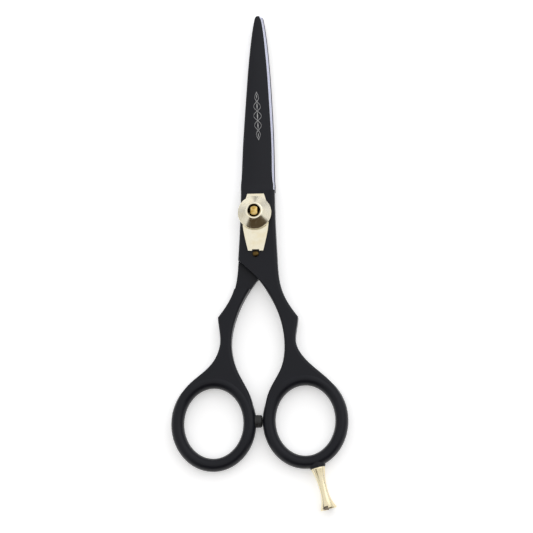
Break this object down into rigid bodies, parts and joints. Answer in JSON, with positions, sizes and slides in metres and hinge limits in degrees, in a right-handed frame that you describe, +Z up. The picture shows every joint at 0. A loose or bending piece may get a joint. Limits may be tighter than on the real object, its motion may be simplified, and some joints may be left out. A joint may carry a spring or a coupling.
{
  "type": "hair cutting shears",
  "caption": "Slim hairdressing shears with straight pointed blades, open finger rings, an adjustable knob pivot, a rubber bumper and a turned finger rest.",
  "frame": {"origin": "on the pivot axis, in the plane that the shears lie on, at the centre of the pivot screw's flat head", "axes": "+Z up the pivot axis to the adjusting knob, +Y along the closed blades to the tips, +X to the side of the finger blade's handle and finger rest"},
  "size_m": [0.0517, 0.1514, 0.009],
  "materials": {
    "coated_steel": "satin black coating on forged steel, with honed bevels and inner faces left bright",
    "gilt_metal": "polished pale gold plating",
    "nylon": "natural, matte",
    "rubber": "matte black"
  },
  "bodies": {
    "finger_side": {"finger_blade": "coated_steel", "pivot_screw": "gilt_metal", "blade_washer": "nylon", "plate_pin": "gilt_metal", "finger_rest": "gilt_metal", "rest_washer": "rubber"},
    "thumb_side": {"thumb_blade": "coated_steel", "pivot_bush": "nylon", "bumper": "rubber"},
    "plate": {"tension_plate": "gilt_metal"},
    "knob": {"tension_knob": "gilt_metal"}
  },
  "joints": [
    {"name": "blades_open", "type": "hinge", "parent": "finger_side", "child": "thumb_side", "pos_m": [0, 0, 0.0025], "axis": [0, 0, -1], "range_deg": [0, 80]},
    {"name": "plate_lift", "type": "slide", "parent": "finger_side", "child": "plate", "axis": [0, 0, 1], "range_m": [0, 0.00025]},
    {"name": "knob_turn", "type": "hinge", "parent": "plate", "child": "knob", "pos_m": [0, 0, 0.0056], "axis": [0, 0, 1], "range_deg": [0, 181]}
  ],
  "couplings": [
    {"joint": "knob_turn", "follows": "plate_lift", "rad_per_m": 12566}
  ]
}
